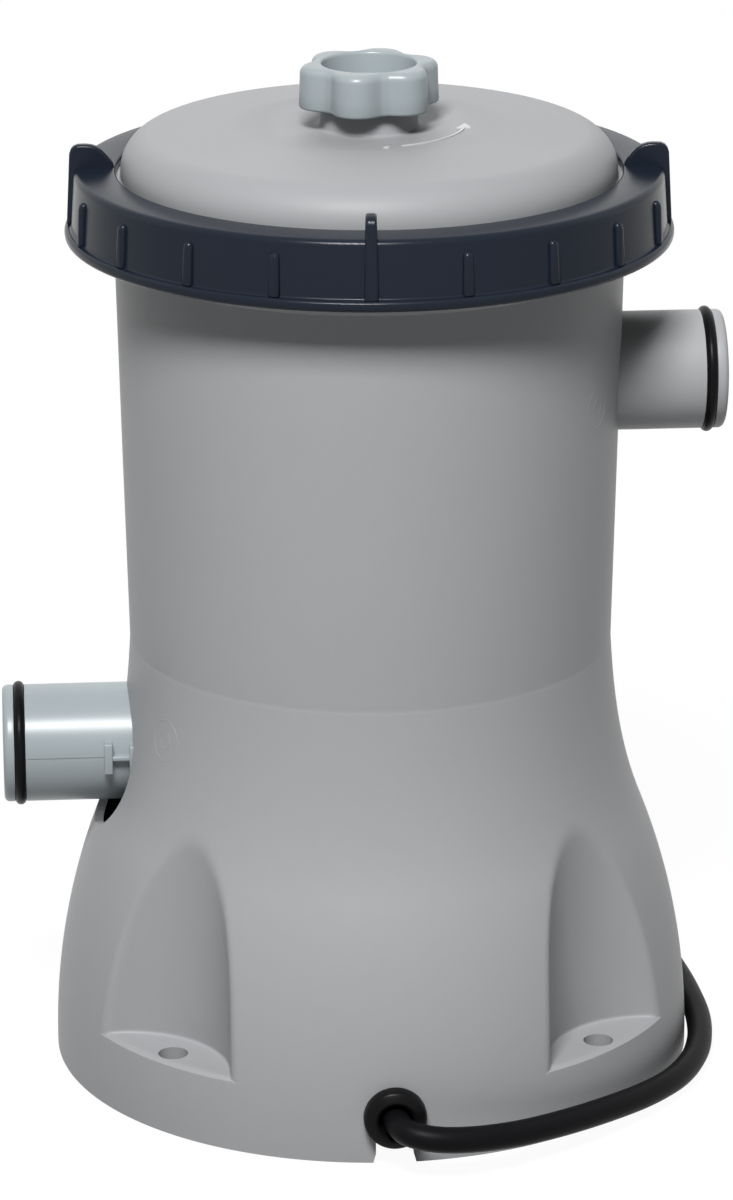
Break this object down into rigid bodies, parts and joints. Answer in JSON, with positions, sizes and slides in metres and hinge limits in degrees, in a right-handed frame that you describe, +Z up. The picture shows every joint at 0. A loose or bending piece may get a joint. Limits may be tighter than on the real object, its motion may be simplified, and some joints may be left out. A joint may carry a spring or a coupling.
{
  "type": "pool filter pump",
  "caption": "Cartridge filter pump on a flared foot, with domed lid under a finned locking ring, air valve knob, two hose ports and mains lead.",
  "frame": {"origin": "on the floor under the middle of the tank, in the base plate's underside", "axes": "+Z up; -Y is the front, where the mains lead leaves; the inlet points along +X and the outlet along -X"},
  "size_m": [0.1974, 0.3193, 0.277],
  "materials": {
    "tank_grey": "moulded satin plastic, cool mid grey",
    "lid_grey": "moulded satin plastic, cool mid grey",
    "ring_navy": "fine-grained dark navy plastic",
    "port_blue_grey": "moulded satin plastic, pale bluish grey",
    "black_rubber": "moulded rubber, soft sheen",
    "cable_black": "extruded cable sheath",
    "base_black": "dark moulded plastic",
    "filter_paper": "pleated filter paper",
    "cap_blue": "soft moulded end cap",
    "screw_steel": "stainless screws",
    "core_steel": "stacked electrical steel",
    "copper": "enamelled copper wire",
    "magnet": "ferrite magnet",
    "plug_metal": "nickel-plated pins"
  },
  "bodies": {
    "housing": {"foot_housing": "tank_grey", "tank_floor": "tank_grey", "tank_wall": "tank_grey", "upper_spigot": "tank_grey", "upper_port_ring": "black_rubber", "lower_port_ring": "black_rubber", "pump_chamber": "port_blue_grey", "chamber_seal": "black_rubber", "chamber_screws": "screw_steel", "suction_plate": "port_blue_grey", "rotor_can": "base_black", "can_seal": "black_rubber", "shaft": "screw_steel", "rear_bush": "base_black", "front_bush": "base_black", "stator_core": "core_steel", "coil_bobbins": "base_black", "coil_windings": "copper", "motor_case": "base_black", "motor_case_cover": "base_black", "motor_case_screws": "screw_steel", "base_plate": "base_black", "base_plate_screws": "screw_steel", "cable_grommet": "black_rubber", "cable_clamp": "base_black", "clamp_screws": "screw_steel", "inner_lead": "cable_black", "power_cord": "cable_black", "power_cord_coil": "cable_black", "mains_plug": "cable_black", "plug_pins": "plug_metal", "lid_seal": "black_rubber"},
    "lid": {"lid_dome": "lid_grey"},
    "ring": {"locking_ring": "ring_navy"},
    "valve": {"air_valve_plug": "port_blue_grey", "air_valve_ring": "black_rubber"},
    "knob": {"air_valve_knob": "port_blue_grey"},
    "cartridge": {"cartridge_top_cap": "cap_blue", "cartridge_bottom_cap": "cap_blue", "cartridge_pleats": "filter_paper", "cartridge_core": "port_blue_grey"},
    "rotor": {"impeller": "port_blue_grey", "rotor_magnet": "magnet", "rotor_sleeve": "screw_steel"}
  },
  "joints": [
    {"name": "lid_lift", "type": "slide", "parent": "housing", "child": "lid", "axis": [0, 0, 1], "range_m": [0, 0.29]},
    {"name": "ring_turn", "type": "hinge", "parent": "lid", "child": "ring", "pos_m": [0, 0, 0.24], "axis": [0, 0, 1], "range_deg": [0, 360]},
    {"name": "valve_rise", "type": "slide", "parent": "lid", "child": "valve", "axis": [0, 0, 1], "range_m": [0, 0.003]},
    {"name": "knob_turn", "type": "hinge", "parent": "valve", "child": "knob", "pos_m": [0, 0, 0.27], "axis": [0, 0, 1], "range_deg": [0, 540]},
    {"name": "cartridge_lift", "type": "slide", "parent": "housing", "child": "cartridge", "axis": [0, 0, 1], "range_m": [0, 0.145]},
    {"name": "impeller_spin", "type": "hinge", "parent": "housing", "child": "rotor", "pos_m": [0, 0, 0.08], "axis": [0, 0, 1], "continuous": true}
  ],
  "couplings": [
    {"joint": "cartridge_lift", "follows": "lid_lift", "ratio": 0.5},
    {"joint": "valve_rise", "follows": "knob_turn", "m_per_rad": 0.00031831}
  ]
}
